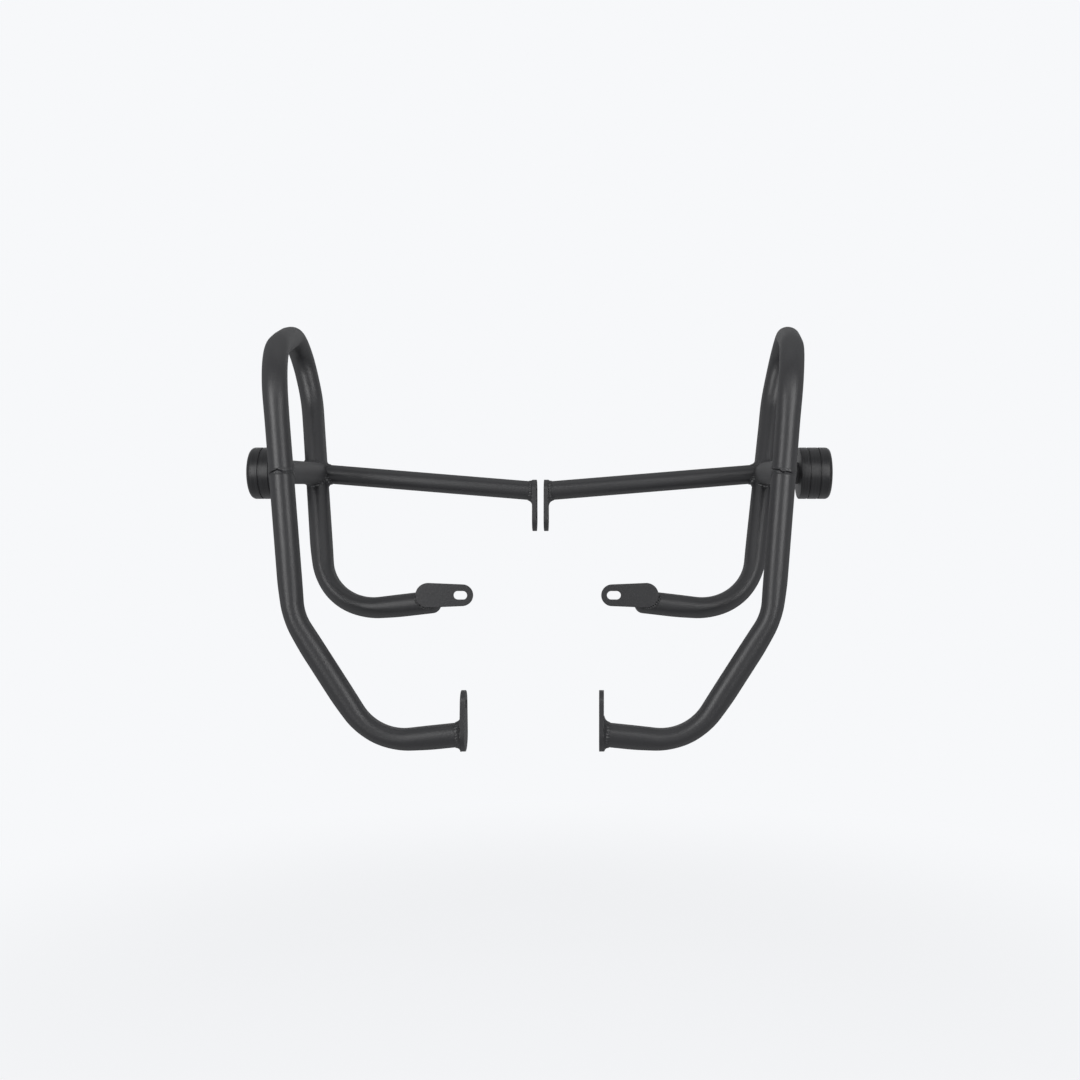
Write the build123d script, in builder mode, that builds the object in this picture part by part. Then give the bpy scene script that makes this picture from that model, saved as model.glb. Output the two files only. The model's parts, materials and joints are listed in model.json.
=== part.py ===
"""Pair of motorcycle crash bars: bent, coped and welded tube, with bolt-on slider pucks.

Millimetres, +Z up, +X to the right and +Y to the rear as the pair is seen from the front.
The origin is the middle of the upper bolt, where both bars meet. Corner points are written for
the right-hand bar, and the left-hand bar is its mirror image in X.
"""
import os

from build123d import *

# Tubes
tube_od = 25.4
tube_wall = 2.0
cross_od = 22.0
cross_wall = 2.0

# Corners of the front leg, which stays in one upright plane
front_y = -155.0
foot_z = -226.6
bottom_x, bottom_z = 165.4, -236.0
knee_x, knee_z = 249.5, -105.0
front_top_x, front_top_z = 271.4, 173.5

# Corners of the hoop behind it, down to the run that carries the rear lug
rear_top = (290.0, 27.0, 221.5)
rear_kink = (274.3, 37.0, 143.5)
lug_run_y = -56.6
rear_bottom_x, rear_bottom_z = 237.0, -107.5
hoop_end_x, hoop_end_z = 119.0, -93.8

# Bend radii at the centre line
bottom_bend = 64.0
knee_bend = 64.0
front_top_bend = 70.0
rear_top_bend = 45.0
kink_bend = 80.0
rear_bottom_bend = 64.0

# The bridge tube ties the front leg to the hoop, and the cross tube starts at its rear end
bridge_front_z = 46.5
bridge_rear_z = 53.5
bridge_cope_gap = 0.1
cross_z = 32.8

# Upper plates, one each side of the frame tab
upper_gap = 8.4
upper_thickness = 5.0
upper_hole_d = 10.5
upper_eye_r = 14.0
upper_margin = 2.0

# Lower plates, under the engine
lower_gap = 138.4
lower_thickness = 5.0
lower_hole_d = 10.5
lower_hole_rise = 32.0
lower_eye_r = 14.0
lower_margin = 4.9

# Rear lugs, let into a shallow flat on the front of the hoop
lug_thickness = 5.0
lug_slot_x, lug_z = 85.0, -85.6
lug_slot_length, lug_slot_width = 15.4, 9.5
lug_eye_x, lug_eye_r = 83.0, 12.0
lug_root_x, lug_root_r = 121.0, 13.6
lug_flat = 1.2
cap_length = 10.5
cap_round = 10.0

# Slider puck, its boss on the outer side of the hoop and the bolt that holds it
boss_d = 25.0
boss_stand_off = 26.6
puck_d = 60.0
puck_length = 36.0
puck_round = 5.0
puck_back_round = 1.2
groove_count = 2
groove_start, groove_pitch = 10.0, 12.0
groove_width = 1.6
groove_depth = 1.2
bolt_d = 10.0
bolt_thread = 10.0
bolt_end_room = 1.5
head_d, head_height = 16.0, 10.0
socket_across, socket_depth = 8.0, 5.0
washer_od, washer_thickness = 20.0, 2.0
bolt_clearance = 0.25
counterbore_clearance = 0.5
counterbore_depth = 14.0

# Weld beads
coped_bead = 3.0
plate_bead = 6.0
lug_bead = 2.5
boss_bead = 2.0
butt_bead_width, butt_bead_height = 5.0, 0.9
plate_edge = 0.5

# Worked out
tube_r = tube_od / 2
cross_r = cross_od / 2
upper_face = upper_gap / 2 + upper_thickness
lower_face = lower_gap / 2 + lower_thickness
upper_root_r = cross_r + upper_margin
lower_root_r = tube_r + lower_margin
lug_back_y = lug_run_y - tube_r + lug_flat
lug_plane = Plane((0, lug_back_y, lug_z), x_dir=(1, 0, 0), z_dir=(0, -1, 0))
counterbore_r = washer_od / 2 + counterbore_clearance
path_overrun = tube_od


def at_height(start, end, z):
    """The point at height z on the straight run from start to end."""
    share = (z - start[2]) / (end[2] - start[2])
    return tuple(a + share * (b - a) for a, b in zip(start, end))


def at_x(start, end, x):
    """The point at x on the straight run from start to end."""
    share = (x - start[0]) / (end[0] - start[0])
    return tuple(a + share * (b - a) for a, b in zip(start, end))


def rod(start, end, radius):
    """A filled round bar between two points."""
    run = Vector(*end) - Vector(*start)
    return Solid.make_cylinder(radius, run.length, Plane(origin=start, z_dir=run))


def bent_tube(points, radii, od, wall):
    """A hollow tube along straight runs with a tangent arc at each corner."""
    with BuildPart() as tube:
        with BuildLine() as path:
            FilletPolyline(*points, radius=radii)
        with BuildSketch(path.line ^ 0):
            Circle(od / 2)
            Circle(od / 2 - wall, mode=Mode.SUBTRACT)
        sweep()
    return tube.part


def eye_plate(plane, root_r, eye_r, rise, thickness, hole_d):
    """A plate with round ends: root_r round the tube, eye_r round a bolt hole, rise above the root."""
    with BuildPart() as plate:
        with BuildSketch(plane):
            Circle(root_r)
            with Locations((0, rise)):
                Circle(eye_r)
            make_hull()
        extrude(amount=thickness)
        fillet(plate.edges(), plate_edge)
        with Locations(plane * Location((0, rise, 0))):
            Hole(hole_d / 2)
    return plate.part


def eye_weld(plane, root_r, eye_r, rise, tube, radius):
    """The fillet bead between a tube's end and the plate's outer face, kept within the plate."""
    start, end = tube
    run = (Vector(*end) - Vector(*start)).normalized()
    sunk = plate_bead
    with BuildPart() as bead:
        with BuildSketch(plane):
            Circle(root_r)
            with Locations((0, rise)):
                Circle(eye_r)
            make_hull()
        extrude(amount=2 * plate_bead)
        base = Plane(origin=Vector(*start) - run * sunk, z_dir=run)
        height = plate_bead + sunk
        add(Solid.make_cone(radius + height, radius, height, base), mode=Mode.INTERSECT)
        add(rod(Vector(*start) - run * path_overrun, end, radius), mode=Mode.SUBTRACT)
    return bead.part


def coped_weld(branch, branch_r, main, main_r, bead, clear=()):
    """The bead where a coped branch tube meets a main tube; clear holds what else it stops at."""
    with BuildPart() as ring:
        add(rod(*branch, branch_r + bead))
        add(rod(*main, main_r + bead), mode=Mode.INTERSECT)
        add(rod(*branch, branch_r), mode=Mode.SUBTRACT)
        add(rod(*main, main_r), mode=Mode.SUBTRACT)
        for other in clear:
            add(other, mode=Mode.SUBTRACT)
    return ring.part


def lug_outline(side, grow):
    """The rear lug's tapered outline with round ends, grown by an even margin."""
    with BuildSketch() as outline:
        with Locations((side * lug_eye_x, 0)):
            Circle(lug_eye_r + grow)
        with Locations((side * lug_root_x, 0)):
            Circle(lug_root_r + grow)
        make_hull()
    return outline.sketch


def save(part, name):
    """Names a finished piece and writes it to its own file."""
    part.label = name
    export_step(part, f"parts/{name}.step")


os.makedirs("parts", exist_ok=True)
slider_planes = []

for hand, side in (("left", -1), ("right", 1)):
    # Corner points of this bar
    bottom = (side * bottom_x, front_y, bottom_z)
    knee = (side * knee_x, front_y, knee_z)
    front_top = (side * front_top_x, front_y, front_top_z)
    foot = (side * lower_face, front_y, foot_z)
    foot_past = at_x(foot, bottom, side * (lower_face - path_overrun))
    hoop_top = (side * rear_top[0], rear_top[1], rear_top[2])
    kink = (side * rear_kink[0], rear_kink[1], rear_kink[2])
    rear_bottom = (side * rear_bottom_x, lug_run_y, rear_bottom_z)
    hoop_end = (side * hoop_end_x, lug_run_y, hoop_end_z)
    front_joint = at_height(knee, front_top, bridge_front_z)
    rear_joint = at_height(kink, rear_bottom, bridge_rear_z)
    cross_end = (side * upper_face, 0.0, cross_z)
    cross_past = at_x(rear_joint, cross_end, side * (upper_face - path_overrun))
    upper_root = Plane((side * upper_gap / 2, 0, cross_z), x_dir=(0, side, 0), z_dir=(side, 0, 0))
    lower_root = Plane((side * lower_gap / 2, front_y, foot_z), x_dir=(0, side, 0), z_dir=(side, 0, 0))
    outer_half = Keep.TOP if side > 0 else Keep.BOTTOM

    # The slider's boss stands on the hoop opposite the cross tube, square to the pair's middle plane
    outward = Vector(side, 0, 0)
    boss_face = Vector(*rear_joint) + outward * (tube_r + boss_stand_off)
    boss = (rear_joint, boss_face)

    # Straight stretches as filled bars, for coping one tube round another
    rear_bar = rod(kink, rear_bottom, tube_r)
    bridge = (front_joint, rear_joint)
    bridge_bar = rod(*bridge, tube_r)

    # Outline of the rear lug, carried forward as a block
    with BuildPart() as lug_block:
        with BuildSketch(lug_plane):
            add(lug_outline(side, 0.0))
        extrude(amount=tube_od)

    leg_corners = (foot_past, bottom, knee, front_joint)
    front_leg = bent_tube(leg_corners, (bottom_bend, knee_bend), tube_od, tube_wall)
    with BuildPart() as front_leg_tube:
        add(front_leg)
        split(bisect_by=Plane.YZ.offset(side * lower_face), keep=outer_half)
    save(front_leg_tube.part, f"{hand}_front_leg_tube")

    hoop_corners = (front_joint, front_top, hoop_top, kink, rear_bottom, hoop_end)
    hoop_bends = (front_top_bend, rear_top_bend, kink_bend, rear_bottom_bend)
    hoop = bent_tube(hoop_corners, hoop_bends, tube_od, tube_wall)
    with BuildPart() as hoop_tube:
        add(hoop)
        add(lug_block.part, mode=Mode.SUBTRACT)
    save(hoop_tube.part, f"{hand}_hoop_tube")

    # The bridge is as wide as the legs, so its copes have a small fit-up gap instead of feather edges
    cope_r = tube_r + bridge_cope_gap
    with BuildPart() as bridge_tube:
        add(bridge_bar)
        add(rod(*bridge, tube_r - tube_wall), mode=Mode.SUBTRACT)
        add(rod(knee, front_top, cope_r), mode=Mode.SUBTRACT)
        add(rod(kink, rear_bottom, cope_r), mode=Mode.SUBTRACT)
    save(bridge_tube.part, f"{hand}_bridge_tube")

    with BuildPart() as cross_tube:
        add(rod(rear_joint, cross_past, cross_r))
        add(rod(rear_joint, cross_past, cross_r - cross_wall), mode=Mode.SUBTRACT)
        split(bisect_by=Plane.YZ.offset(side * upper_face), keep=outer_half)
        add(rear_bar, mode=Mode.SUBTRACT)
        add(bridge_bar, mode=Mode.SUBTRACT)
    save(cross_tube.part, f"{hand}_cross_tube")

    upper_eye = (upper_root_r, upper_eye_r, -cross_z)
    upper_plate = eye_plate(upper_root, *upper_eye, upper_thickness, upper_hole_d)
    save(upper_plate, f"{hand}_upper_plate")
    upper_weld = eye_weld(upper_root.offset(upper_thickness), *upper_eye, (cross_end, rear_joint), cross_r)
    save(upper_weld, f"{hand}_upper_plate_weld")

    lower_eye = (lower_root_r, lower_eye_r, lower_hole_rise)
    lower_plate = eye_plate(lower_root, *lower_eye, lower_thickness, lower_hole_d)
    save(lower_plate, f"{hand}_lower_plate")
    lower_weld = eye_weld(lower_root.offset(lower_thickness), *lower_eye, (foot, bottom), tube_r)
    save(lower_weld, f"{hand}_lower_plate_weld")

    with BuildPart() as rear_lug:
        with BuildSketch(lug_plane):
            add(lug_outline(side, 0.0))
        extrude(amount=lug_thickness)
        fillet(rear_lug.edges(), plate_edge)
        with BuildSketch(lug_plane):
            with Locations((side * lug_slot_x, 0)):
                SlotOverall(lug_slot_length, lug_slot_width)
        extrude(amount=lug_thickness, mode=Mode.SUBTRACT)
    save(rear_lug.part, f"{hand}_rear_lug")

    cap_tip = at_x(rear_bottom, hoop_end, side * (hoop_end_x - cap_length))
    with BuildPart() as hoop_end_cap:
        add(rod(hoop_end, cap_tip, tube_r))
        fillet(hoop_end_cap.edges().sort_by(Axis.X, reverse=side < 0)[0], cap_round)
        add(lug_block.part, mode=Mode.SUBTRACT)
    save(hoop_end_cap.part, f"{hand}_hoop_end_cap")

    lug_run = (at_x(rear_bottom, hoop_end, side * (lug_root_x + lug_root_r + tube_od)), hoop_end)
    with BuildPart() as rear_lug_weld:
        with BuildSketch(lug_plane):
            add(lug_outline(side, lug_bead))
            add(lug_outline(side, 0.0), mode=Mode.SUBTRACT)
        extrude(amount=lug_bead)
        add(rod(*lug_run, tube_r + lug_bead), mode=Mode.INTERSECT)
        add(rod(*lug_run, tube_r), mode=Mode.SUBTRACT)
    save(rear_lug_weld.part, f"{hand}_rear_lug_weld")

    bridge_front_weld = coped_weld(bridge, tube_r, (knee, front_top), tube_r, coped_bead)
    save(bridge_front_weld, f"{hand}_bridge_front_weld")

    rear_leg = (kink, rear_bottom)
    cross_bar = rod(rear_joint, cross_end, cross_r)
    boss_bar = rod(*boss, boss_d / 2)
    bridge_rear_weld = coped_weld(bridge[::-1], tube_r, rear_leg, tube_r, coped_bead, (cross_bar, boss_bar))
    save(bridge_rear_weld, f"{hand}_bridge_rear_weld")

    cross = (rear_joint, cross_end)
    cross_tube_weld = coped_weld(cross, cross_r, rear_leg, tube_r, coped_bead, (bridge_bar, bridge_rear_weld))
    save(cross_tube_weld, f"{hand}_cross_tube_weld")

    leg_run = (Vector(*front_top) - Vector(*knee)).normalized()
    with BuildPart() as butt_weld:
        with BuildSketch(Plane(front_joint, x_dir=(0, -1, 0), z_dir=leg_run.cross(Vector(0, -1, 0)))):
            with BuildLine():
                toe = (tube_r, butt_bead_width / 2)
                heel = (tube_r, -butt_bead_width / 2)
                ThreePointArc(heel, (tube_r + butt_bead_height, 0), toe)
                Line(toe, heel)
            make_face()
        revolve(axis=Axis(front_joint, leg_run))
        add(bridge_bar, mode=Mode.SUBTRACT)
        add(bridge_front_weld, mode=Mode.SUBTRACT)
    save(butt_weld.part, f"{hand}_butt_weld")

    thread_end = boss_face - outward * (bolt_thread + bolt_end_room)
    with BuildPart() as slider_boss:
        add(boss_bar)
        add(rod(thread_end, boss_face, bolt_d / 2), mode=Mode.SUBTRACT)
        add(rear_bar, mode=Mode.SUBTRACT)
        add(bridge_bar, mode=Mode.SUBTRACT)
    save(slider_boss.part, f"{hand}_slider_boss")

    neighbours = (bridge_bar, bridge_rear_weld, cross_tube_weld)
    boss_weld = coped_weld(boss, boss_d / 2, rear_leg, tube_r, boss_bead, neighbours)
    save(boss_weld, f"{hand}_slider_boss_weld")

    slider_plane = Plane(boss_face, x_dir=(0, side, 0), z_dir=outward)
    with BuildPart() as slider_puck:
        with BuildSketch(slider_plane):
            Circle(puck_d / 2)
        extrude(amount=puck_length)
        rims = slider_puck.edges().sort_by(Axis(boss_face, outward))
        fillet(rims[-1], puck_round)
        fillet(rims[0], puck_back_round)
        for groove in range(groove_count):
            middle = groove_start + groove * groove_pitch
            with BuildSketch(slider_plane.offset(middle - groove_width / 2)):
                Circle(puck_d / 2)
                Circle(puck_d / 2 - groove_depth, mode=Mode.SUBTRACT)
            extrude(amount=groove_width, mode=Mode.SUBTRACT)
        with Locations(slider_plane.offset(puck_length)):
            CounterBoreHole(bolt_d / 2 + bolt_clearance, counterbore_r, counterbore_depth)
    save(slider_puck.part, f"{hand}_slider_puck")
    slider_planes.append(slider_plane)

seat = puck_length - counterbore_depth
with BuildPart() as slider_washers:
    for slider_plane in slider_planes:
        with BuildSketch(slider_plane.offset(seat)):
            Circle(washer_od / 2)
            Circle(bolt_d / 2 + bolt_clearance, mode=Mode.SUBTRACT)
        extrude(amount=washer_thickness)
save(slider_washers.part, "slider_washers")

head_seat = seat + washer_thickness
with BuildPart() as slider_bolts:
    for slider_plane in slider_planes:
        with BuildSketch(slider_plane.offset(-bolt_thread)):
            Circle(bolt_d / 2)
        extrude(amount=bolt_thread + head_seat)
        with BuildSketch(slider_plane.offset(head_seat)):
            Circle(head_d / 2)
        extrude(amount=head_height)
        with BuildSketch(slider_plane.offset(head_seat + head_height - socket_depth)):
            RegularPolygon(socket_across / 2, 6, major_radius=False)
        extrude(amount=socket_depth, mode=Mode.SUBTRACT)
save(slider_bolts.part, "slider_bolts")
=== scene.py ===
"""Looks of a pair of welded motorcycle crash bars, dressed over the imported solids.

The bent tubes are redrawn with the slight flattening that a bender leaves, the weld beads get their
ripples, the pucks are turned, and every surface gets its finish. Sizes are in millimetres and are the
ones the solids were made to; MM turns them into Blender's metres.
"""
import json
import math
from contextlib import contextmanager

import bpy
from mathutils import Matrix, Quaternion, Vector, noise
from mathutils.kdtree import KDTree


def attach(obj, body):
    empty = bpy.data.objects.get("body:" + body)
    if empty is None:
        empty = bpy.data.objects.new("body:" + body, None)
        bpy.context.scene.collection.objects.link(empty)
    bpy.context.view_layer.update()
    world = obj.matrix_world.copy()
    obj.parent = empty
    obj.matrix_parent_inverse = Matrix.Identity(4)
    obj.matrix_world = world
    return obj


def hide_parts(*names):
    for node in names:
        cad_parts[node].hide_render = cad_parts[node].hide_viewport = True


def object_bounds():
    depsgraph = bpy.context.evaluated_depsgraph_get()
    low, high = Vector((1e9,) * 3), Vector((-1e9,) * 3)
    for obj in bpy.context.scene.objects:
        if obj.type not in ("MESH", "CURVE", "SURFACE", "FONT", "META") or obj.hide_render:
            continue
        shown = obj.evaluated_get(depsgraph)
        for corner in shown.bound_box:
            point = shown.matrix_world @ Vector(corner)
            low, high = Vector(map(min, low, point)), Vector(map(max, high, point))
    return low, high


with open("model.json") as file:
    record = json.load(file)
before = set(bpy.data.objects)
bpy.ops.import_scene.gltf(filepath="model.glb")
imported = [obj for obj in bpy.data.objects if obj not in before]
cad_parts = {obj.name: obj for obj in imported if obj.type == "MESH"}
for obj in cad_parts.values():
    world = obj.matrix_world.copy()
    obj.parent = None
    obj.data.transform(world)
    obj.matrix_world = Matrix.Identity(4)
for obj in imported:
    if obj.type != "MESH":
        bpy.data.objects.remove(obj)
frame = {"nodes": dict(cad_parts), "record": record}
cad_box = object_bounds()

MM = 0.001
HANDS = (("left", -1), ("right", 1))

# Tubes and their corners, for the right-hand bar
TUBE_R = 12.7
TUBE_WALL = 2.0
FRONT_Y = -155.0
FOOT = (74.2, FRONT_Y, -226.6)
BOTTOM = (165.4, FRONT_Y, -236.0)
KNEE = (249.5, FRONT_Y, -105.0)
FRONT_TOP = (271.4, FRONT_Y, 173.5)
REAR_TOP = (290.0, 27.0, 221.5)
REAR_KINK = (274.3, 37.0, 143.5)
REAR_BOTTOM = (237.0, -56.6, -107.5)
HOOP_END = (119.0, -56.6, -93.8)
BRIDGE_FRONT_Z = 46.5
BRIDGE_REAR_Z = 53.5
LEG_BENDS = (64.0, 64.0)
HOOP_BENDS = (70.0, 45.0, 80.0, 64.0)

# How a bend sits: flattened on its outer side, a little wider the other way, and eased in and out
# round its ends
TUBE_SIDES = 48
RING_STEP = 5.0
BEND_STEP = math.radians(3)
OUTER_PINCH = 0.2
INNER_PINCH = 0.035
BEND_SPREAD = 0.04
BEND_EASE = 27.0

# Cross tube and slider boss
CROSS_R = 11.0
CROSS_END = (9.2, 0.0, 32.8)
BOSS_R = 12.5
BOSS_STAND_OFF = 26.6

# Slider puck
PUCK_R = 30.0
PUCK_LENGTH = 36.0
PUCK_ROUND = 5.0
PUCK_BACK_ROUND = 1.2
GROOVES = (10.0, 22.0)
GROOVE_WIDTH = 1.6
GROOVE_DEPTH = 1.2
GROOVE_EDGE = 0.25
BORE_R = 5.25
COUNTERBORE_R = 10.5
COUNTERBORE_DEPTH = 14.0
PUCK_CHAMFER = 0.6
PUCK_SIDES = 96

# Weld beads: legs along the branch and along what it stands on, and the ripples of the torch. The lip
# stands off the metal, the toe runs out into it, the hollow draws the face towards the corner, and the
# sweep bows the ripples.
BEAD_TURNS = 260
BEAD_FACE_POINTS = 9
COPED_LEGS = (5.0, 3.8)
BOSS_LEGS = (3.4, 2.6)
PLATE_LEG = 6.0
PLATE_EDGE_ROOM = 0.4
UPPER_ROOT_R = 13.0
LOWER_ROOT_R = 17.6
BEAD_LIP = 0.55
BEAD_TOE = 0.4
BEAD_SINK = 0.2
BEAD_ROOT = 0.8
BEAD_HOLLOW = 0.36
BEAD_WANDER = 0.2
BEAD_WANDER_SCALE = 3
TOE_LEAN = 0.06
RIPPLE_PITCH = 2.8
RIPPLE_HEIGHT = 0.32
RIPPLE_SWEEP = 0.35
LUG_BEAD_VOXEL = 0.35
LUG_RIPPLE_SLANT = 0.5

# Butt seam between the leg and the hoop: two low uneven ridges with a crease that wanders between them.
# Ragged, fill and lumps are the shares of noise in the crease's line, its depth and the ridges.
SEAM_GAP = 6.0
SEAM_TURNS = 300
SEAM_RAGGED, SEAM_RAGGED_SCALE = 0.5, 7
SEAM_FILL, SEAM_FILL_SCALE = 0.5, 5
SEAM_LUMPS, SEAM_LUMP_SCALE = 1.1, 11
SEAM_SEED = 3.0
SEAM_HALF = 3.8
SEAM_ROOT = -1.9
# Along the tube and out from its surface, across the two ridges
SEAM_RIDGE = ((-3.8, -0.5), (-3.2, 0.05), (-2.4, 0.2), (-1.6, 0.36), (-1.0, 0.42), (-0.6, 0.1),
              (-0.3, -0.7), (0.0, -1.2), (0.3, -0.7),
              (0.6, 0.1), (1.0, 0.42), (1.6, 0.36), (2.4, 0.2), (3.2, 0.05), (3.8, -0.5))
# The crease's course: turn from the front towards the outer side in degrees, rise, and share of depth
SEAM_COURSE = {
    "left": ((-180, 0.6, 0.5), (-100, -0.8, 0.3), (-48, -1.0, 0.05), (-25, -1.2, 0.2), (-6, 1.2, 0.35),
             (3, 2.0, 1.0), (25, 0.3, 1.0), (55, -1.3, 1.0), (90, -2.0, 0.9), (180, 0.6, 0.5)),
    "right": ((-180, 0.5, 0.5), (-90, 1.9, 0.5), (-63, 1.7, 0.6), (-32, 1.1, 0.7), (-13, -1.2, 0.9),
              (-3, -0.9, 0.2), (10, -0.3, 0.9), (28, -1.2, 0.6), (42, -1.0, 0.05), (110, 0.2, 0.4),
              (180, 0.5, 0.5)),
}

# Eased edges of the bolts and washers
BOLT_EDGE = 0.5
WASHER_EDGE = 0.3


def deselect_all():
    bpy.ops.object.select_all(action="DESELECT")


def make_active(piece):
    deselect_all()
    piece.select_set(True)
    bpy.context.view_layer.objects.active = piece


@contextmanager
def whole_mesh(piece):
    """Edit mode on a piece, with all of its mesh selected."""
    make_active(piece)
    bpy.ops.object.mode_set(mode="EDIT")
    bpy.ops.mesh.select_all(action="SELECT")
    yield
    bpy.ops.object.mode_set(mode="OBJECT")


def close_up(threshold):
    """In edit mode: merges the points that meet and turns all faces outwards."""
    bpy.ops.mesh.select_all(action="SELECT")
    bpy.ops.mesh.remove_doubles(threshold=threshold * MM)
    bpy.ops.mesh.normals_make_consistent(inside=False)


def add_ring(name, middle, axis, radius, sides):
    """An open circle square to an axis, with its place and turn applied to its mesh."""
    deselect_all()
    bpy.ops.mesh.primitive_circle_add(vertices=sides, radius=radius * MM, location=middle,
                                      rotation=axis.to_track_quat("Z", "Y").to_euler())
    ring = bpy.context.object
    ring.name = name
    bpy.ops.object.transform_apply(location=True, rotation=True, scale=True)
    return ring


def apply_modifier(piece, kind, **settings):
    """Adds one modifier to a piece and applies it."""
    make_active(piece)
    modifier = piece.modifiers.new(kind.lower(), kind)
    for key, value in settings.items():
        setattr(modifier, key, value)
    bpy.ops.object.modifier_apply(modifier=modifier.name)


def smooth(piece, angle=40):
    """Smooth shading, with the edges sharper than an angle in degrees left sharp."""
    make_active(piece)
    bpy.ops.object.shade_smooth_by_angle(angle=math.radians(angle))


def dress(piece, node, slot):
    """Lets a finished piece stand for a CAD node, with its finish and its body."""
    piece.data.materials.clear()
    piece.data.materials.append(FINISH[slot])
    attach(piece, "root")
    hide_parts(node)


# Bent tubes

def on_side(side, point):
    """A point of the right-hand bar, brought to the side asked for and into metres."""
    return Vector((side * point[0], point[1], point[2])) * MM


def at_height(start, end, z):
    """The point at height z on the line from start to end."""
    share = (z - start[2]) / (end[2] - start[2])
    return tuple(a + share * (b - a) for a, b in zip(start, end))


def bend_route(corners, radii):
    """Straight runs and arcs along the corners, as ("run", to) or ("bend", to, centre, axis, turn)."""
    steps = []
    for i in range(1, len(corners) - 1):
        back = (corners[i - 1] - corners[i]).normalized()
        ahead = (corners[i + 1] - corners[i]).normalized()
        turn = math.pi - back.angle(ahead)
        radius = radii[i - 1] * MM
        reach = radius * math.tan(turn / 2)
        centre = corners[i] + (back + ahead).normalized() * (radius / math.cos(turn / 2))
        axis = (-back).cross(ahead).normalized()
        steps.append(("run", corners[i] + back * reach))
        steps.append(("bend", corners[i] + ahead * reach, centre, axis, turn))
    steps.append(("run", corners[-1]))
    return steps


def draw_tube(name, corners, radii):
    """A tube drawn as by hand: a ring, extruded along each run and spun round each bend.

    Also gives its stations, as (place, heading, length so far), and its bends, as (start, end, axis).
    """
    tube = add_ring(name, corners[0], corners[1] - corners[0], TUBE_R, TUBE_SIDES)
    here, length = corners[0], 0.0
    stations, bends = [], []
    with whole_mesh(tube):
        for kind, goal, *bend in bend_route(corners, radii):
            if kind == "run":
                run = goal - here
                reach = run.length
                rings = max(1, math.ceil(reach / (RING_STEP * MM)))
                for ring in range(rings):
                    bpy.ops.mesh.extrude_region_move(TRANSFORM_OT_translate={"value": run / rings})
                    share = ring / rings
                    stations.append((here + run * share, run.normalized(), length + reach * share))
            else:
                centre, axis, turn = bend
                rings = max(2, math.ceil(turn / BEND_STEP))
                bpy.ops.mesh.spin(steps=rings, angle=-turn, center=centre, axis=axis, use_auto_merge=False)
                arm = here - centre
                reach = turn * arm.length
                for ring in range(rings + 1):
                    share = ring / rings
                    turned = arm.copy()
                    turned.rotate(Quaternion(axis, turn * share))
                    heading = axis.cross(turned).normalized()
                    stations.append((centre + turned, heading, length + reach * share))
                bends.append((length, length + reach, axis))
            here = goal
            length += reach
        close_up(threshold=0.05)
    stations.append((here, (corners[-1] - corners[-2]).normalized(), length))
    return tube, stations, bends


def ease_in(past):
    """From 0 to 1 over the stretch each side of a bend's end, for a length past that end."""
    share = min(max(past / (2 * BEND_EASE * MM) + 0.5, 0.0), 1.0)
    return share * share * (3 - 2 * share)


def flatten_bends(tube, stations, bends):
    """Narrows the tube across each bend, as a bender leaves it."""
    tree = KDTree(len(stations))
    for i, station in enumerate(stations):
        tree.insert(station[0], i)
    tree.balance()
    for vertex in tube.data.vertices:
        place, along, length = stations[tree.find(vertex.co)[1]]
        ahead = (vertex.co - place).dot(along)
        middle = place + along * ahead
        offset = vertex.co - middle
        for start, end, axis in bends:
            weight = ease_in(length + ahead - start) * ease_in(end - length - ahead)
            outward = along.cross(axis).normalized()
            across = offset.dot(outward)
            pinch = OUTER_PINCH if across > 0 else INNER_PINCH
            offset += (axis * (offset.dot(axis) * BEND_SPREAD * weight)
                       - outward * (across * pinch * weight))
        vertex.co = middle + offset


def wall_tube(tube):
    """Gives the drawn tube its wall, inwards."""
    mesh = tube.data
    face = mesh.polygons[0]
    ring_middle = sum((mesh.vertices[i].co for i in range(TUBE_SIDES)), Vector()) / TUBE_SIDES
    inward = (face.center - ring_middle).dot(face.normal) < 0
    if inward:
        with whole_mesh(tube):
            bpy.ops.mesh.flip_normals()
    apply_modifier(tube, "SOLIDIFY", thickness=TUBE_WALL * MM, offset=-1)


def cut_end(tube, side, x):
    """Trims a tube square to the pair's middle plane at x."""
    with whole_mesh(tube):
        bpy.ops.mesh.bisect(plane_co=(side * x * MM, 0, 0), plane_no=(side, 0, 0), clear_inner=True)


# Finishes

def srgb(code):
    """Linear colour of an sRGB hex value."""
    parts = [int(code[i:i + 2], 16) / 255 for i in (1, 3, 5)]
    return tuple(c / 12.92 if c <= 0.04045 else ((c + 0.055) / 1.055) ** 2.4 for c in parts) + (1.0,)


def add_node(tree, kind, inputs=(), **settings):
    """Adds a node with its settings; inputs pairs a socket with a value or with an output to link."""
    made = tree.nodes.new(kind)
    for key, value in settings.items():
        setattr(made, key, value)
    for socket, value in dict(inputs).items():
        if isinstance(value, bpy.types.NodeSocket):
            tree.links.new(value, made.inputs[socket])
        else:
            made.inputs[socket].default_value = value
    return made


def new_material(name):
    material = bpy.data.materials.new(name)
    material.use_nodes = True
    tree = material.node_tree
    tree.nodes.clear()
    return material, tree


def finish_surface(tree, inputs):
    surface = add_node(tree, "ShaderNodeBsdfPrincipled", inputs, distribution="GGX")
    add_node(tree, "ShaderNodeOutputMaterial", {"Surface": surface.outputs["BSDF"]})


def per_mm(size):
    """Pattern scale, in repeats per metre, for a feature of that size in millimetres."""
    return 1.0 / (size * MM)


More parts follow.
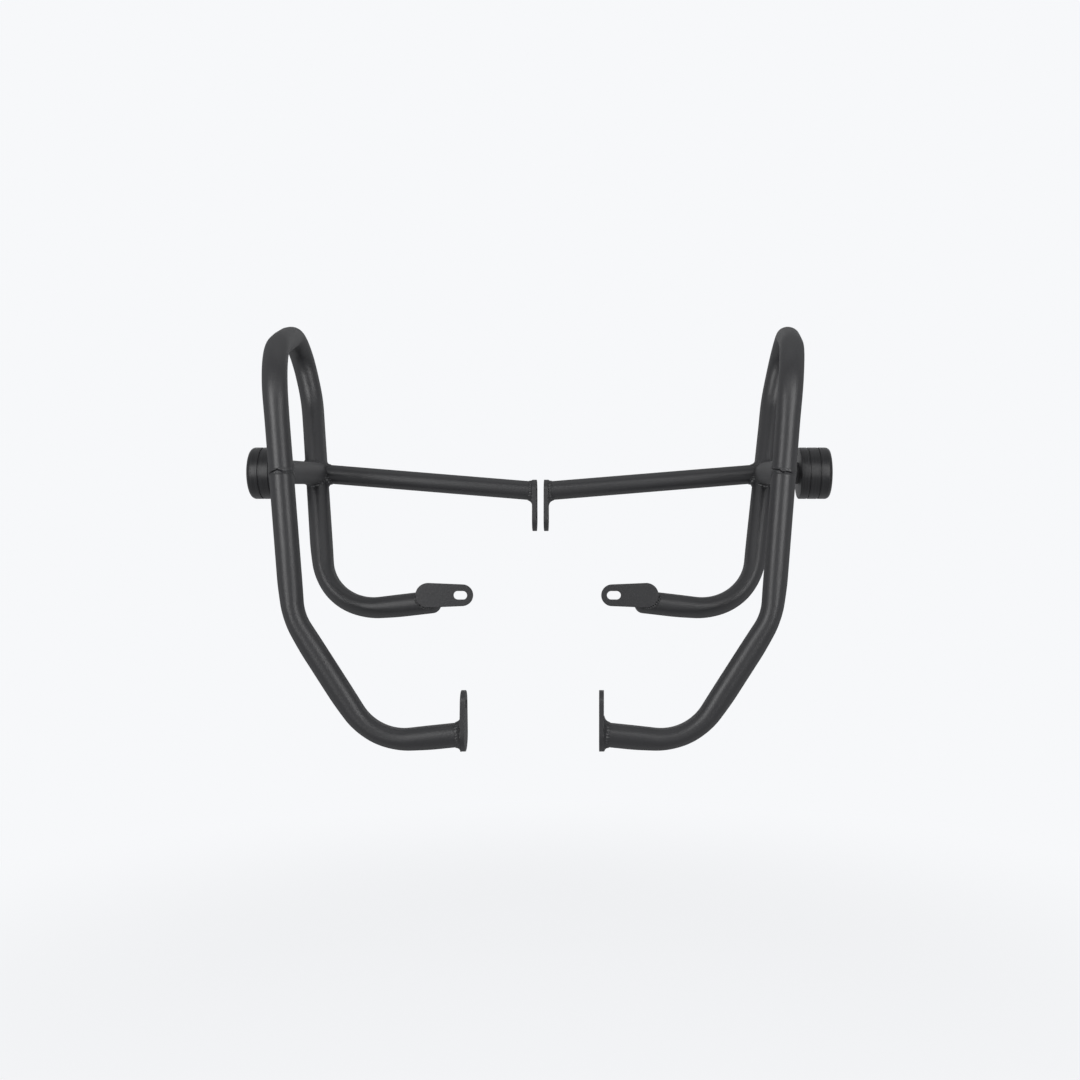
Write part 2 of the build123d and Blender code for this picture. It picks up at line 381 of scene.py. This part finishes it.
def duller_along(tree, rough, more):
    """Roughness that grows where a grained surface is seen along it, as its grains hide each other."""
    edge = add_node(tree, "ShaderNodeLayerWeight", {"Blend": 0.5})
    dull = add_node(tree, "ShaderNodeMapRange",
                    {"Value": edge.outputs["Facing"], "From Min": 0.25, "To Max": more})
    return add_node(tree, "ShaderNodeMath", {0: rough.outputs["Result"], 1: dull.outputs["Result"]},
                    operation="ADD").outputs["Value"]


def textured_powder_coat():
    """Black polyester powder coat with a fine sand texture: matt, with a soft grey sheen on round tubes."""
    material, tree = new_material("textured_black_powder_coat")
    place = add_node(tree, "ShaderNodeTexCoord").outputs["Object"]
    # the real grain is about 0.4 mm; it is drawn coarser, at 2.2 mm, so that it shows in the render
    grain = add_node(tree, "ShaderNodeTexNoise", {"Vector": place, "Scale": per_mm(2.2), "Detail": 3.0})
    cloud = add_node(tree, "ShaderNodeTexNoise", {"Vector": place, "Scale": per_mm(55), "Detail": 2.0})
    tone = add_node(tree, "ShaderNodeMix",
                    {"Factor": grain.outputs["Fac"], "A": srgb("#0B0B0D"), "B": srgb("#151518")},
                    data_type="RGBA")
    even = add_node(tree, "ShaderNodeMapRange",
                    {"Value": cloud.outputs["Fac"], "To Min": 0.38, "To Max": 0.44})
    bump = add_node(tree, "ShaderNodeBump",
                    {"Height": grain.outputs["Fac"], "Strength": 0.7, "Distance": 0.25 * MM})
    finish_surface(tree, {"Base Color": tone.outputs["Result"], "Roughness": duller_along(tree, even, 0.52),
                          "Normal": bump.outputs["Normal"], "Specular IOR Level": 0.43})
    return material


def turned_nylon():
    """Black nylon bar, turned on a lathe: fine rings round the puck and a dull sheen."""
    material, tree = new_material("turned_black_nylon")
    place = add_node(tree, "ShaderNodeTexCoord").outputs["Object"]
    apart = add_node(tree, "ShaderNodeSeparateXYZ", {"Vector": place})
    line = add_node(tree, "ShaderNodeCombineXYZ", {"X": apart.outputs["X"]})
    # the tool marks are about 0.2 mm apart; they are drawn coarser, at 1.7 mm, so that they show
    marks = add_node(tree, "ShaderNodeTexNoise",
                     {"Vector": line.outputs["Vector"], "Scale": per_mm(1.7), "Detail": 1.0})
    clear = add_node(tree, "ShaderNodeMapRange",
                     {"Value": marks.outputs["Fac"], "From Min": 0.3, "From Max": 0.7})
    tone = add_node(tree, "ShaderNodeMix",
                    {"Factor": clear.outputs["Result"], "A": srgb("#0F0F10"), "B": srgb("#212123")},
                    data_type="RGBA")
    rough = add_node(tree, "ShaderNodeMapRange",
                     {"Value": clear.outputs["Result"], "To Min": 0.3, "To Max": 0.44})
    bump = add_node(tree, "ShaderNodeBump",
                    {"Height": clear.outputs["Result"], "Strength": 0.2, "Distance": 0.15 * MM})
    finish_surface(tree, {"Base Color": tone.outputs["Result"], "Roughness": duller_along(tree, rough, 0.22),
                          "Normal": bump.outputs["Normal"], "Specular IOR Level": 0.23})
    return material


def black_oxide_steel():
    """Bolt steel, blackened: dark metal with a faint mottled oil sheen."""
    material, tree = new_material("black_oxide_steel")
    place = add_node(tree, "ShaderNodeTexCoord").outputs["Object"]
    mottle = add_node(tree, "ShaderNodeTexNoise", {"Vector": place, "Scale": per_mm(2.5), "Detail": 4.0})
    tone = add_node(tree, "ShaderNodeMix",
                    {"Factor": mottle.outputs["Fac"], "A": srgb("#3A3A3C"), "B": srgb("#59595B")},
                    data_type="RGBA")
    rough = add_node(tree, "ShaderNodeMapRange",
                     {"Value": mottle.outputs["Fac"], "To Min": 0.3, "To Max": 0.48})
    finish_surface(tree, {"Base Color": tone.outputs["Result"], "Roughness": rough.outputs["Result"],
                          "Metallic": 1.0})
    return material


FINISH = {
    "powder_coat": textured_powder_coat(),
    "puck_plastic": turned_nylon(),
    "bolt_steel": black_oxide_steel(),
}

for entry in frame["record"]["subparts"]:
    node = frame["nodes"][entry["node"]]
    for holder in node.material_slots:
        holder.material = FINISH[entry["material_slot"]]


# Front legs and hoops

def towards(start, end, distance):
    """The point at that distance from start, on the way to end."""
    run = Vector(end) - Vector(start)
    return tuple(Vector(start) + run.normalized() * distance)


def make_tubes(hand, side):
    """The front leg, cut off at its plate, and the hoop, with the seam's gap between them."""
    joint = at_height(KNEE, FRONT_TOP, BRIDGE_FRONT_Z)
    foot_past = towards(FOOT, BOTTOM, -2 * TUBE_R)
    leg_end = towards(joint, KNEE, SEAM_GAP / 2)
    leg_corners = [on_side(side, p) for p in (foot_past, BOTTOM, KNEE, leg_end)]
    leg, stations, bends = draw_tube(f"{hand}_front_leg_bent", leg_corners, LEG_BENDS)
    flatten_bends(leg, stations, bends)
    cut_end(leg, side, FOOT[0])
    wall_tube(leg)
    smooth(leg)
    dress(leg, f"{hand}_front_leg_tube", "powder_coat")

    hoop_start = towards(joint, FRONT_TOP, SEAM_GAP / 2)
    hoop_corners = [on_side(side, p)
                    for p in (hoop_start, FRONT_TOP, REAR_TOP, REAR_KINK, REAR_BOTTOM, HOOP_END)]
    hoop, stations, bends = draw_tube(f"{hand}_hoop_bent", hoop_corners, HOOP_BENDS)
    flatten_bends(hoop, stations, bends)
    wall_tube(hoop)
    smooth(hoop)
    dress(hoop, f"{hand}_hoop_tube", "powder_coat")


# Weld beads

def square_to(axis):
    """Two directions square to an axis and to each other."""
    first = axis.orthogonal().normalized()
    return first, axis.cross(first).normalized()


def lay_torus(name, turns, sections):
    """A torus whose sections are laid one by one: sections holds a list of points for each turn."""
    sides = len(sections[0])
    deselect_all()
    bpy.ops.mesh.primitive_torus_add(major_segments=turns, minor_segments=sides,
                                     major_radius=TUBE_R * MM, minor_radius=MM)
    ring = bpy.context.object
    ring.name = name
    for index, vertex in enumerate(ring.data.vertices):
        turn, spot = divmod(index, sides)
        vertex.co = sections[turn][spot]
    with whole_mesh(ring):
        bpy.ops.mesh.normals_make_consistent(inside=False)
    smooth(ring, angle=50)
    return ring


def meet_tube(joint, branch, branch_r, out, leg, main, main_r):
    """Where a branch tube's surface meets a main tube: the corner, the main's normal and the bead's toe."""
    lean = branch.dot(main)
    across = out.dot(main)
    a = 1 - lean ** 2
    b = -2 * branch_r * across * lean
    c = branch_r ** 2 * (1 - across ** 2) - main_r ** 2
    rise = (-b + math.sqrt(max(b * b - 4 * a * c, 0.0))) / (2 * a)
    corner = joint + out * branch_r + branch * rise
    reach = corner - joint
    normal = (reach - main * reach.dot(main)).normalized()
    away = (out - normal * out.dot(normal)) - (branch - normal * branch.dot(normal)) * TOE_LEAN
    toe = corner + away.normalized() * leg - joint
    flat = toe - main * toe.dot(main)
    return corner, normal, joint + main * toe.dot(main) + flat.normalized() * main_r


def meet_plate(joint, branch, branch_r, out, leg, normal):
    """Where a tube's surface meets a flat plate: the corner, the plate's normal and the bead's toe."""
    rise = -branch_r * out.dot(normal) / branch.dot(normal)
    corner = joint + out * branch_r + branch * rise
    away = (out - normal * out.dot(normal)).normalized()
    return corner, normal, corner + away * leg


def plate_legs(root_r, branch_r, to_eye):
    """Legs of a bead on a plate: full size towards the plate's eye, kept within its edge elsewhere."""
    def legs(out):
        lean = out.dot(to_eye)
        reach = root_r / math.sqrt(max(1 - lean ** 2, 1e-6)) if lean > 0 else root_r
        on_plate = min(PLATE_LEG, reach - branch_r - PLATE_EDGE_ROOM)
        return (PLATE_LEG + on_plate) / 2, on_plate
    return legs


def fillet_bead(name, node, joint, branch, branch_r, legs, meet, seed):
    """A rippled fillet bead in the corner round a tube's end; meet says what the tube stands on."""
    first, second = square_to(branch)
    ripples = round(2 * math.pi * branch_r / RIPPLE_PITCH)
    sections = []
    for turn in range(BEAD_TURNS):
        angle = 2 * math.pi * turn / BEAD_TURNS
        out = first * math.cos(angle) + second * math.sin(angle)
        spot = Vector((BEAD_WANDER_SCALE * math.cos(angle), BEAD_WANDER_SCALE * math.sin(angle), seed))
        uneven = 1 + BEAD_WANDER * noise.noise(spot)
        branch_leg, main_leg = (leg * uneven for leg in legs(out))
        corner, normal, toe = meet(joint, branch, branch_r * MM, out, main_leg * MM)
        foot = meet(joint, branch, branch_r * MM, out, (main_leg + BEAD_TOE) * MM)[2]
        start = corner + branch * (branch_leg * MM) + out * (BEAD_LIP * MM)
        end = toe + normal * (BEAD_LIP * MM)
        middle = (start + end) / 2
        lift = (out + normal).normalized()
        control = middle + (corner - middle) * (2 * BEAD_HOLLOW)
        section = [corner + branch * ((branch_leg + BEAD_TOE) * MM) - out * (BEAD_SINK * MM)]
        for step in range(BEAD_FACE_POINTS):
            s = step / (BEAD_FACE_POINTS - 1)
            point = start * (1 - s) ** 2 + control * (2 * s * (1 - s)) + end * s ** 2
            from_middle = 2 * s - 1
            phase = ripples * angle + 2 * math.pi * RIPPLE_SWEEP * from_middle ** 2
            section.append(point + lift * (RIPPLE_HEIGHT * MM * math.cos(phase) * (1 - from_middle ** 4)))
        section.append(foot - normal * (BEAD_SINK * MM))
        section.append(corner - lift * (BEAD_ROOT * MM))
        sections.append(section)
    bead = lay_torus(name, BEAD_TURNS, sections)
    dress(bead, node, "powder_coat")


def make_beads(hand, side):
    """The six fillet beads of one bar."""
    front_joint = on_side(side, at_height(KNEE, FRONT_TOP, BRIDGE_FRONT_Z))
    rear_joint = on_side(side, at_height(REAR_KINK, REAR_BOTTOM, BRIDGE_REAR_Z))
    cross_end, foot, bottom = (on_side(side, p) for p in (CROSS_END, FOOT, BOTTOM))
    front_leg = (on_side(side, FRONT_TOP) - on_side(side, KNEE)).normalized()
    rear_leg = (on_side(side, REAR_KINK) - on_side(side, REAR_BOTTOM)).normalized()
    bridge = (rear_joint - front_joint).normalized()
    cross = (cross_end - rear_joint).normalized()
    outward = Vector((side, 0, 0))
    up = Vector((0, 0, 1))

    def on_tube(main):
        return lambda *corner: meet_tube(*corner, main, TUBE_R * MM)

    def on_plate(*corner):
        return meet_plate(*corner, outward)

    def all_round(legs):
        return lambda out: legs

    fillet_bead(f"{hand}_bridge_front_bead", f"{hand}_bridge_front_weld", front_joint, bridge, TUBE_R,
                all_round(COPED_LEGS), on_tube(front_leg), seed=1.3)
    fillet_bead(f"{hand}_bridge_rear_bead", f"{hand}_bridge_rear_weld", rear_joint, -bridge, TUBE_R,
                all_round(COPED_LEGS), on_tube(rear_leg), seed=5.1)
    fillet_bead(f"{hand}_cross_bead", f"{hand}_cross_tube_weld", rear_joint, cross, CROSS_R,
                all_round(COPED_LEGS), on_tube(rear_leg), seed=8.7)
    fillet_bead(f"{hand}_boss_bead", f"{hand}_slider_boss_weld", rear_joint, outward, BOSS_R,
                all_round(BOSS_LEGS), on_tube(rear_leg), seed=12.2)
    fillet_bead(f"{hand}_upper_bead", f"{hand}_upper_plate_weld", cross_end, -cross, CROSS_R,
                plate_legs(UPPER_ROOT_R, CROSS_R, -up), on_plate, seed=17.9)
    fillet_bead(f"{hand}_lower_bead", f"{hand}_lower_plate_weld", foot, (bottom - foot).normalized(),
                TUBE_R, plate_legs(LOWER_ROOT_R, TUBE_R, up), on_plate, seed=21.4)


def crease_at(course, turn):
    """Rise and depth of the seam's crease at a turn in degrees."""
    for (t0, rise0, depth0), (t1, rise1, depth1) in zip(course, course[1:]):
        if turn <= t1:
            share = (turn - t0) / (t1 - t0)
            return rise0 + share * (rise1 - rise0), depth0 + share * (depth1 - depth0)
    return course[-1][1:]


def make_seam(hand, side):
    """The butt seam round the front leg: a low bead with a crease, open in places and filled in others."""
    joint = on_side(side, at_height(KNEE, FRONT_TOP, BRIDGE_FRONT_Z))
    along = (on_side(side, FRONT_TOP) - on_side(side, KNEE)).normalized()
    first, second = square_to(along)
    sections = []
    for turn in range(SEAM_TURNS):
        angle = 2 * math.pi * turn / SEAM_TURNS
        out = first * math.cos(angle) + second * math.sin(angle)
        place = Vector((math.cos(angle), math.sin(angle), SEAM_SEED + side))
        from_front = math.degrees(math.atan2(out.x * side, -out.y))
        rise, depth = crease_at(SEAM_COURSE[hand], from_front)
        wander = rise + SEAM_RAGGED * noise.noise(place * SEAM_RAGGED_SCALE)
        depth *= 1 + SEAM_FILL * noise.noise(place * SEAM_FILL_SCALE)
        section = []
        for a, r in SEAM_RIDGE:
            calm = (1 - (a / SEAM_HALF) ** 2) ** 2
            lumps = 1 + SEAM_LUMPS * noise.noise(place * SEAM_LUMP_SCALE + Vector((a, 0, 0)))
            uneven = lumps if r > 0 else depth
            height = r * uneven if abs(a) < SEAM_HALF else r
            section.append(joint + along * ((a + wander * calm) * MM) + out * ((TUBE_R + height) * MM))
        section.append(joint + out * ((TUBE_R + SEAM_ROOT) * MM))
        sections.append(section)
    seam = lay_torus(f"{hand}_butt_seam", SEAM_TURNS, sections)
    dress(seam, f"{hand}_butt_weld", "powder_coat")


def copy_node(name, node):
    """A copy of a CAD node with a mesh of its own, its loose triangles merged."""
    source = frame["nodes"][node]
    piece = source.copy()
    piece.data = source.data.copy()
    piece.name = name
    bpy.context.scene.collection.objects.link(piece)
    with whole_mesh(piece):
        bpy.ops.mesh.remove_doubles(threshold=0.002 * MM)
    return piece


def make_lug_bead(hand):
    """The short bead along the lug's root, melted from its plain solid and rippled along its length."""
    bead = copy_node(f"{hand}_lug_bead", f"{hand}_rear_lug_weld")
    apply_modifier(bead, "REMESH", mode="VOXEL", voxel_size=LUG_BEAD_VOXEL * MM)
    apply_modifier(bead, "SMOOTH", factor=0.5, iterations=6)
    for vertex in bead.data.vertices:
        phase = 2 * math.pi * (vertex.co.x + LUG_RIPPLE_SLANT * vertex.co.z) / (RIPPLE_PITCH * MM)
        vertex.co += vertex.normal * (RIPPLE_HEIGHT * MM * math.cos(phase))
    smooth(bead, angle=60)
    dress(bead, f"{hand}_rear_lug_weld", "powder_coat")


# Slider pucks

def rounded(centre, radius, start, end, steps):
    """Points of an arc in (along, radius), from one angle to another in degrees."""
    angles = [math.radians(start + (end - start) * i / steps) for i in range(steps + 1)]
    return [(centre[0] + radius * math.cos(a), centre[1] + radius * math.sin(a)) for a in angles]


def puck_profile():
    """The puck's section, from the bore's back edge round the outside and in through the counterbore."""
    points = [(0, BORE_R + PUCK_CHAMFER)]
    points += rounded((PUCK_BACK_ROUND, PUCK_R - PUCK_BACK_ROUND), PUCK_BACK_ROUND, 180, 90, steps=4)
    for groove in GROOVES:
        start, end, floor = groove - GROOVE_WIDTH / 2, groove + GROOVE_WIDTH / 2, PUCK_R - GROOVE_DEPTH
        points += [(start - GROOVE_EDGE, PUCK_R), (start, PUCK_R - GROOVE_EDGE), (start, floor),
                   (end, floor), (end, PUCK_R - GROOVE_EDGE), (end + GROOVE_EDGE, PUCK_R)]
    points += rounded((PUCK_LENGTH - PUCK_ROUND, PUCK_R - PUCK_ROUND), PUCK_ROUND, 90, 0, steps=8)
    seat = PUCK_LENGTH - COUNTERBORE_DEPTH
    points += [(PUCK_LENGTH, COUNTERBORE_R + PUCK_CHAMFER), (PUCK_LENGTH - PUCK_CHAMFER, COUNTERBORE_R),
               (seat, COUNTERBORE_R), (seat, BORE_R), (PUCK_CHAMFER, BORE_R)]
    return points


def turn_ring(name, centre, axis, profile, sides):
    """A closed ring turned from its section: a circle extruded and scaled from point to point."""
    along, radius = profile[0]
    ring = add_ring(name, centre + axis * (along * MM), axis, radius, sides)
    with whole_mesh(ring):
        for (a0, r0), (a1, r1) in zip(profile, profile[1:] + profile[:1]):
            bpy.ops.mesh.extrude_region_move(TRANSFORM_OT_translate={"value": axis * ((a1 - a0) * MM)})
            if abs(r1 - r0) > 1e-6:
                bpy.ops.transform.resize(value=(r1 / r0,) * 3, center_override=centre + axis * (a1 * MM))
        close_up(threshold=0.01)
    return ring


def make_puck(hand, side):
    """The slider puck, turned in one piece with its grooves and the counterbore for its bolt."""
    joint = on_side(side, at_height(REAR_KINK, REAR_BOTTOM, BRIDGE_REAR_Z))
    outward = Vector((side, 0, 0))
    boss_face = joint + outward * ((TUBE_R + BOSS_STAND_OFF) * MM)
    puck = turn_ring(f"{hand}_turned_puck", boss_face, outward, puck_profile(), PUCK_SIDES)
    smooth(puck, angle=35)
    dress(puck, f"{hand}_slider_puck", "puck_plastic")


def ease_edges(name, node, width):
    """A copy of a plain machined node with its sharp edges eased."""
    piece = copy_node(name, node)
    with whole_mesh(piece):
        bpy.ops.mesh.dissolve_limited(angle_limit=math.radians(1))
    apply_modifier(piece, "BEVEL", width=width * MM, segments=2, limit_method="ANGLE",
                   angle_limit=math.radians(40), use_clamp_overlap=True)
    smooth(piece, angle=35)
    dress(piece, node, "bolt_steel")


for hand, side in HANDS:
    make_tubes(hand, side)
    make_beads(hand, side)
    make_seam(hand, side)
    make_lug_bead(hand)
    make_puck(hand, side)
ease_edges("slider_bolt_pair", "slider_bolts", BOLT_EDGE)
ease_edges("slider_washer_pair", "slider_washers", WASHER_EDGE)


# Camera, at the photograph's place: level, a little to the right of the middle, with a small shift

CAMERA_PLACE = Vector((77.4, -1455.0, -24.4)) * MM
FOCAL_PIXELS = 1250
FRAME_PIXELS = 1080
AXIS_PIXEL_X = 607
SENSOR_WIDTH = 36

camera = bpy.data.objects.new("camera", bpy.data.cameras.new("camera"))
bpy.context.scene.collection.objects.link(camera)
camera.location = CAMERA_PLACE
camera.rotation_euler = (math.pi / 2, 0, 0)
camera.data.sensor_width = SENSOR_WIDTH
camera.data.lens = SENSOR_WIDTH * FOCAL_PIXELS / FRAME_PIXELS
camera.data.shift_x = -(AXIS_PIXEL_X - FRAME_PIXELS / 2) / FRAME_PIXELS
bpy.context.scene.camera = camera


# Studio, in metres and watts: a pale floor, strip softboxes either side of the camera and above it, one
# overhead and one behind

BACKDROP = srgb("#F7F8FA")
WORLD_LEVEL = 0.05
FLOOR_R = 12
FLOOR_Y = -0.06
FLOOR_DROP = 0.3
FLOOR_SHADE = 0.12
SHADE_INNER, SHADE_OUTER = 0.35, 1.1


def softbox(name, place, target, width, height, power):
    """A soft lamp turned towards its target, and not seen by the camera itself."""
    light = bpy.data.lights.new(name, "AREA")
    light.shape = "RECTANGLE"
    light.size = width
    light.size_y = height
    light.energy = power
    lamp = bpy.data.objects.new(name, light)
    bpy.context.scene.collection.objects.link(lamp)
    lamp.visible_camera = False
    lamp.location = place
    lamp.rotation_euler = (Vector(target) - Vector(place)).to_track_quat("-Z", "Y").to_euler()


def seen_directly(tree):
    """1 where the camera, a reflection or a clear material looks straight at the surface, else 0."""
    path = add_node(tree, "ShaderNodeLightPath")
    rays = add_node(tree, "ShaderNodeMath",
                    {0: path.outputs["Is Camera Ray"], 1: path.outputs["Is Glossy Ray"]},
                    operation="MAXIMUM")
    rays = add_node(tree, "ShaderNodeMath",
                    {0: rays.outputs[0], 1: path.outputs["Is Transmission Ray"]},
                    operation="MAXIMUM")
    return rays.outputs[0]


def make_floor():
    """A wide pale disc that shows the backdrop's own colour, with the soft shadow kept near the bars."""
    deselect_all()
    bpy.ops.mesh.primitive_circle_add(vertices=128, radius=FLOOR_R, fill_type="NGON")
    floor = bpy.context.object
    floor.name = "floor"
    floor.location = (0, FLOOR_Y, cad_box[0][2] - FLOOR_DROP)
    material, tree = new_material("pale_studio_floor")
    lit = add_node(tree, "ShaderNodeBsdfDiffuse", {"Color": BACKDROP})
    plain = add_node(tree, "ShaderNodeEmission", {"Color": BACKDROP})
    place = add_node(tree, "ShaderNodeTexCoord").outputs["Object"]
    reach = add_node(tree, "ShaderNodeVectorMath", {0: place}, operation="LENGTH")
    shade = add_node(tree, "ShaderNodeMapRange",
                     {"Value": reach.outputs["Value"], "From Min": SHADE_INNER, "From Max": SHADE_OUTER,
                      "To Min": 1 - FLOOR_SHADE, "To Max": 1.0},
                     interpolation_type="SMOOTHSTEP")
    share = add_node(tree, "ShaderNodeMath", {0: seen_directly(tree), 1: shade.outputs["Result"]},
                     operation="MULTIPLY")
    mixed = add_node(tree, "ShaderNodeMixShader",
                     {0: share.outputs[0], 1: lit.outputs[0], 2: plain.outputs[0]})
    add_node(tree, "ShaderNodeOutputMaterial", {"Surface": mixed.outputs[0]})
    floor.data.materials.append(material)


def make_world():
    """The backdrop where it is looked at, and a faint even glow for the rest of the light."""
    world = bpy.data.worlds.new("studio")
    bpy.context.scene.world = world
    world.use_nodes = True
    tree = world.node_tree
    tree.nodes.clear()
    glow = add_node(tree, "ShaderNodeBackground", {"Color": srgb("#F2F4F8"), "Strength": WORLD_LEVEL})
    plain = add_node(tree, "ShaderNodeBackground", {"Color": BACKDROP, "Strength": 1.0})
    mixed = add_node(tree, "ShaderNodeMixShader",
                     {0: seen_directly(tree), 1: glow.outputs[0], 2: plain.outputs[0]})
    add_node(tree, "ShaderNodeOutputWorld", {"Surface": mixed.outputs[0]})


make_floor()
make_world()
softbox("left_strip", (-0.66, -1.0, 0.2), target=(-0.05, 0, 0), width=0.42, height=0.8, power=8.1)
softbox("right_strip", (0.62, -0.9, 0.2), target=(0.05, 0, 0), width=0.4, height=0.8, power=6.3)
softbox("front_top", (0, -1.25, 0.85), target=(0, 0, 0), width=1.1, height=0.18, power=2.6)
softbox("overhead", (0, -0.1, 2.0), target=(0, 0, 0), width=1.6, height=1.0, power=2.2)
softbox("rear_top", (0, 1.7, 0.75), target=(0, 0, 0.1), width=2.0, height=0.4, power=6)
bpy.context.scene.view_settings.view_transform = "Standard"
